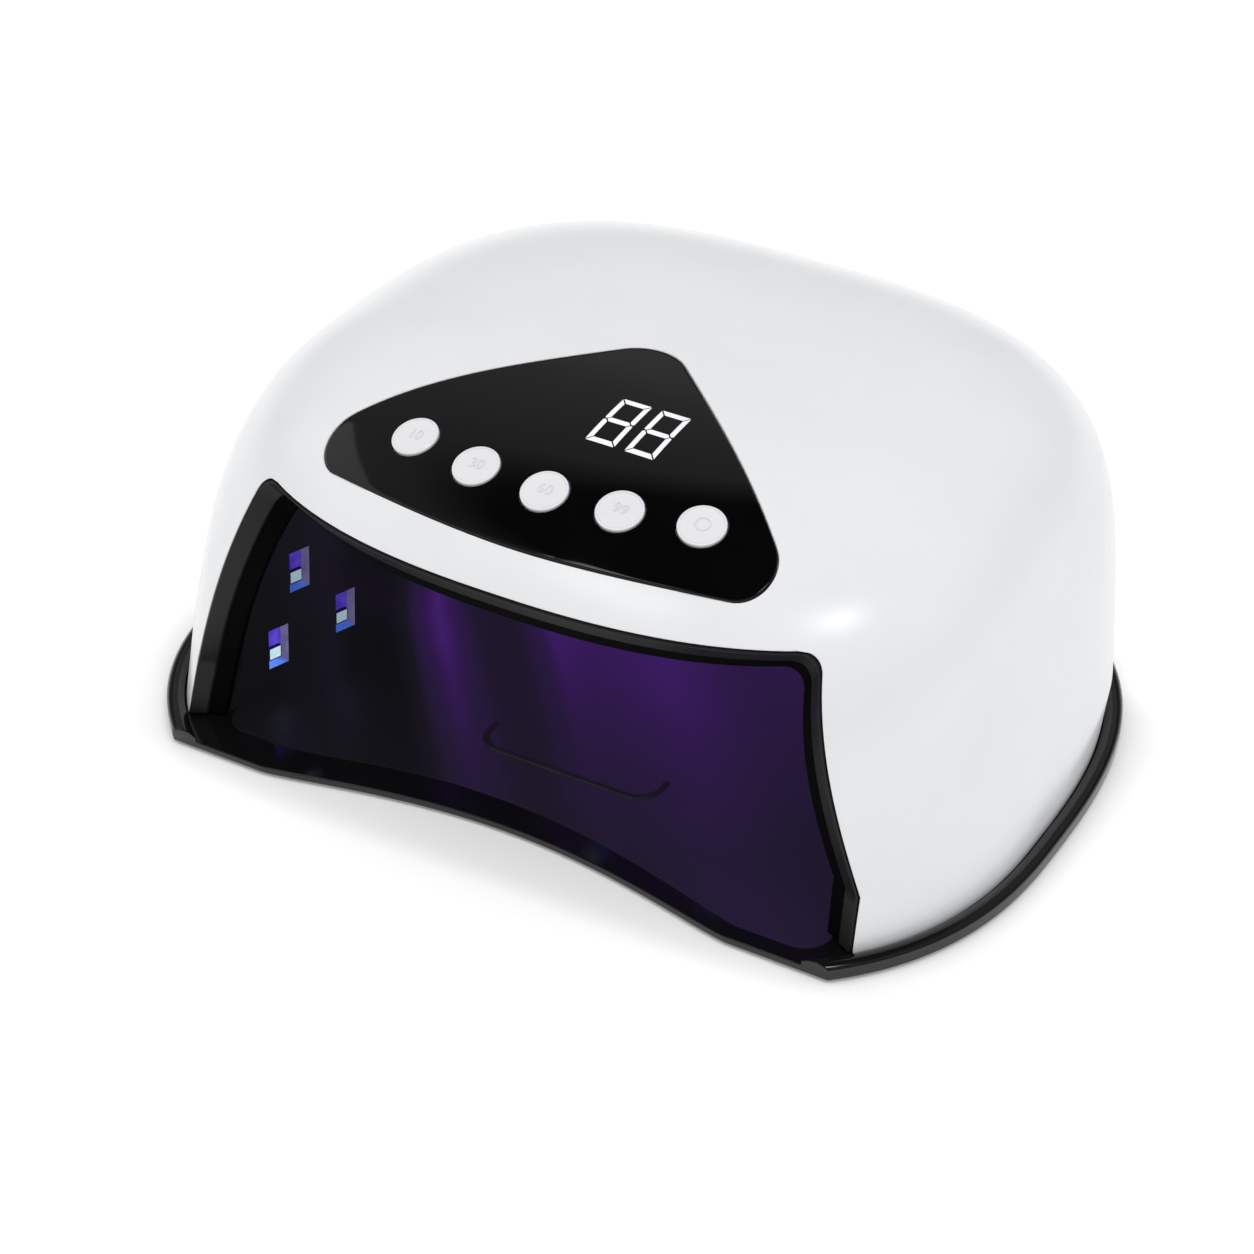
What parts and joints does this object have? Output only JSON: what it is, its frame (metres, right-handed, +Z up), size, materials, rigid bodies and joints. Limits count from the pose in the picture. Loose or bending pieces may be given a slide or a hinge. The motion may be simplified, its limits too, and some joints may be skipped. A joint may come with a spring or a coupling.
{
  "type": "uv curing lamp",
  "caption": "Domed UV-LED curing lamp with a wide front opening into a lit chamber, a panel of push keys with a lit display, and a lift-off tray.",
  "frame": {"origin": "middle of the footprint, on the surface that the feet stand on", "axes": "+X to the right of a user who faces the opening, -Y out of the opening, +Z up"},
  "size_m": [0.23, 0.175, 0.0918],
  "materials": {
    "gloss_white_abs": "high gloss",
    "satin_black_abs": "satin",
    "gloss_black_acrylic": "high gloss",
    "dark_chamber_abs": "gloss",
    "key_white_abs": "satin gloss",
    "dark_mirror_film": "dark mirror",
    "black_rubber": "matte",
    "zinc_plated_steel": "bright",
    "nickel_plated_magnet": "plated",
    "white_circuit_board": "solder mask",
    "green_circuit_board": "solder mask",
    "led_chip": "clear resin",
    "switch_nylon": "moulded"
  },
  "bodies": {
    "tray": {"base_tray": "satin_black_abs", "tray_reflector": "dark_mirror_film", "foot_front_left": "black_rubber", "foot_front_right": "black_rubber", "foot_rear_left": "black_rubber", "foot_rear_right": "black_rubber", "keeper_left": "zinc_plated_steel", "keeper_right": "zinc_plated_steel"},
    "lamp": {"front_bezel": "satin_black_abs", "dc_jack": "satin_black_abs", "screw_front_left": "zinc_plated_steel", "screw_front_right": "zinc_plated_steel", "screw_rear_left": "zinc_plated_steel", "screw_rear_right": "zinc_plated_steel", "top_shell": "gloss_white_abs", "inner_liner": "dark_chamber_abs", "magnet_left": "nickel_plated_magnet", "magnet_right": "nickel_plated_magnet", "led_left_1": "led_chip", "led_left_2": "led_chip", "led_left_3": "led_chip", "led_right_1": "led_chip", "led_right_2": "led_chip", "led_right_3": "led_chip", "led_roof_1": "led_chip", "led_roof_2": "led_chip", "led_roof_3": "led_chip", "led_roof_4": "led_chip", "led_roof_5": "led_chip", "led_roof_6": "led_chip", "led_board_left": "white_circuit_board", "led_board_right": "white_circuit_board", "led_board_roof": "white_circuit_board", "hand_sensor": "gloss_black_acrylic", "control_panel": "gloss_black_acrylic", "display_module": "gloss_black_acrylic", "control_board": "green_circuit_board", "switch_1": "switch_nylon", "switch_2": "switch_nylon", "switch_3": "switch_nylon", "switch_4": "switch_nylon", "switch_5": "switch_nylon"},
    "key_1": {"button_1": "key_white_abs"},
    "key_2": {"button_2": "key_white_abs"},
    "key_3": {"button_3": "key_white_abs"},
    "key_4": {"button_4": "key_white_abs"},
    "key_5": {"button_5": "key_white_abs"}
  },
  "joints": [
    {"name": "lamp_lift", "type": "slide", "parent": "tray", "child": "lamp", "axis": [0, 0, 1], "range_m": [0, 0.04]},
    {"name": "key_1_press", "type": "slide", "parent": "lamp", "child": "key_1", "axis": [0.0914, 0.3312, -0.9391], "range_m": [0, 0.0006], "stiffness_N_per_m": 600, "springref_m": -0.0012},
    {"name": "key_2_press", "type": "slide", "parent": "lamp", "child": "key_2", "axis": [0.0379, 0.3481, -0.9367], "range_m": [0, 0.0006], "stiffness_N_per_m": 600, "springref_m": -0.0012},
    {"name": "key_3_press", "type": "slide", "parent": "lamp", "child": "key_3", "axis": [0, 0.3572, -0.934], "range_m": [0, 0.0006], "stiffness_N_per_m": 600, "springref_m": -0.0012},
    {"name": "key_4_press", "type": "slide", "parent": "lamp", "child": "key_4", "axis": [-0.0379, 0.3481, -0.9367], "range_m": [0, 0.0006], "stiffness_N_per_m": 600, "springref_m": -0.0012},
    {"name": "key_5_press", "type": "slide", "parent": "lamp", "child": "key_5", "axis": [-0.0914, 0.3312, -0.9391], "range_m": [0, 0.0006], "stiffness_N_per_m": 600, "springref_m": -0.0012}
  ]
}
